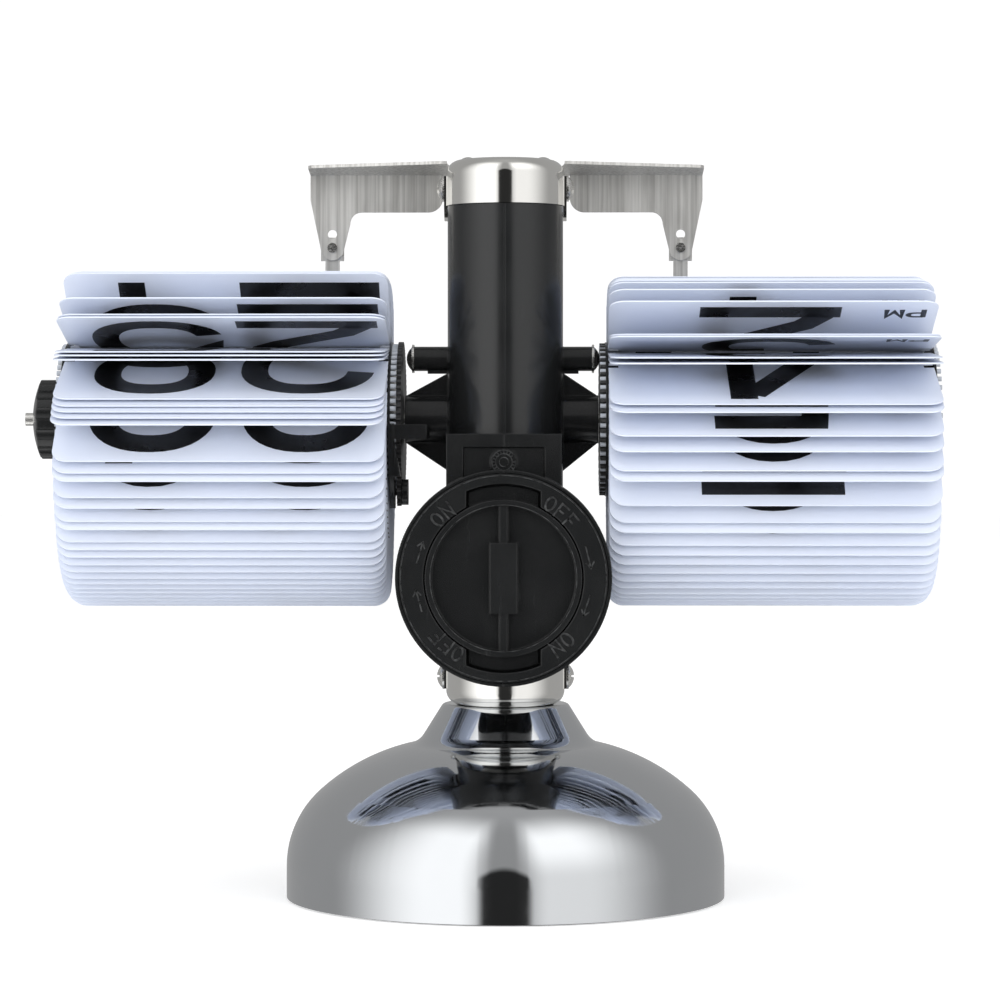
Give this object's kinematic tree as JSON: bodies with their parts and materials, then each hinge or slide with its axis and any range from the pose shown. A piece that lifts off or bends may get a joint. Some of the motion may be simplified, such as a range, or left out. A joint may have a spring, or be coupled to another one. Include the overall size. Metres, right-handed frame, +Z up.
{
  "type": "flip number clock",
  "caption": "Table clock whose hours and minutes are shown by hinged number cards on two side drums, carried by a column on a polished dome base, with a round battery cover at the back.",
  "frame": {"origin": "on the table under the centre of the round base", "axes": "+Z up, +X along the drums towards the minutes drum and its knob, -Y towards the reader, so the battery cover faces +Y"},
  "size_m": [0.205, 0.0984, 0.1664],
  "materials": {
    "polished_base": "mirror polish on spun metal",
    "cup_chrome": "bright chrome plate",
    "black_plastic": "satin",
    "gear_plastic": "matt",
    "steel_sheet": "brushed along its length",
    "steel_turned": "turned",
    "card_plastic": "satin, printed in black",
    "tab_plastic": "satin",
    "iron": "rough",
    "pad_rubber": "matt",
    "nickel": "nickel plate"
  },
  "bodies": {
    "clock_body": {"base_dome": "polished_base", "base_weight": "iron", "base_plate": "steel_turned", "base_pad": "pad_rubber", "base_stud": "steel_turned", "base_nut": "steel_turned", "lower_cup": "cup_chrome", "upper_cup": "cup_chrome", "lower_cup_screws": "steel_turned", "upper_cup_screws": "steel_turned", "top_screws": "steel_turned", "column_minute_half": "black_plastic", "column_hour_half": "black_plastic", "battery_surround": "black_plastic", "bay_contact": "nickel", "movement_case": "black_plastic", "minute_post_screw": "steel_turned", "hour_post_screw": "steel_turned", "idler_bracket": "black_plastic", "minute_front_cards": "card_plastic", "minute_rear_cards": "card_plastic", "minute_upper_cards": "card_plastic", "minute_lower_flap": "card_plastic", "hour_front_cards": "card_plastic", "hour_rear_cards": "card_plastic", "hour_upper_cards": "card_plastic", "hour_lower_flap": "card_plastic", "minute_arm": "steel_sheet", "hour_arm": "steel_sheet", "minute_clip": "steel_sheet", "hour_clip": "steel_sheet", "arm_rivets": "steel_turned"},
    "minute_drum": {"minute_shaft": "steel_turned", "minute_inner_disc": "black_plastic", "minute_outer_disc": "black_plastic", "minute_core": "black_plastic", "minute_gear": "gear_plastic", "minute_tabs": "tab_plastic", "minute_knob": "black_plastic"},
    "hour_drum": {"hour_shaft": "steel_turned", "hour_inner_disc": "black_plastic", "hour_outer_disc": "black_plastic", "hour_core": "black_plastic", "hour_gear": "gear_plastic", "hour_tabs": "tab_plastic"},
    "idler": {"idler_pinion": "gear_plastic", "idler_bush": "black_plastic"},
    "minute_flap": {"minute_top_flap": "card_plastic"},
    "hour_flap": {"hour_top_flap": "card_plastic"},
    "cover_carrier": {"cap_contact": "nickel"},
    "battery_cover": {"battery_cap": "black_plastic"}
  },
  "joints": [
    {"name": "minute_drum_turn", "type": "hinge", "parent": "clock_body", "child": "minute_drum", "pos_m": [0.06, 0, 0.1075], "axis": [1, 0, 0], "continuous": true},
    {"name": "hour_drum_turn", "type": "hinge", "parent": "clock_body", "child": "hour_drum", "pos_m": [-0.06, 0, 0.1075], "axis": [1, 0, 0], "continuous": true},
    {"name": "idler_turn", "type": "hinge", "parent": "clock_body", "child": "idler", "pos_m": [0.0234, 0.01125, 0.09131], "axis": [1, 0, 0], "continuous": true},
    {"name": "minute_flap_fall", "type": "hinge", "parent": "clock_body", "child": "minute_flap", "pos_m": [0.0617, -0.01615, 0.11035], "axis": [1, 0, 0], "range_deg": [0, 156]},
    {"name": "hour_flap_fall", "type": "hinge", "parent": "clock_body", "child": "hour_flap", "pos_m": [-0.0588, -0.01601, 0.11105], "axis": [1, 0, 0], "range_deg": [0, 156]},
    {"name": "cover_pull", "type": "slide", "parent": "clock_body", "child": "cover_carrier", "axis": [0, 1, 0], "range_m": [0, 0.03]},
    {"name": "cover_turn", "type": "hinge", "parent": "cover_carrier", "child": "battery_cover", "pos_m": [0, 0.0355, 0.0732], "axis": [0, 1, 0], "range_deg": [0, 60]}
  ],
  "couplings": [
    {"joint": "hour_drum_turn", "follows": "minute_drum_turn", "ratio": 0.041667},
    {"joint": "idler_turn", "follows": "minute_drum_turn", "ratio": -6.25}
  ]
}
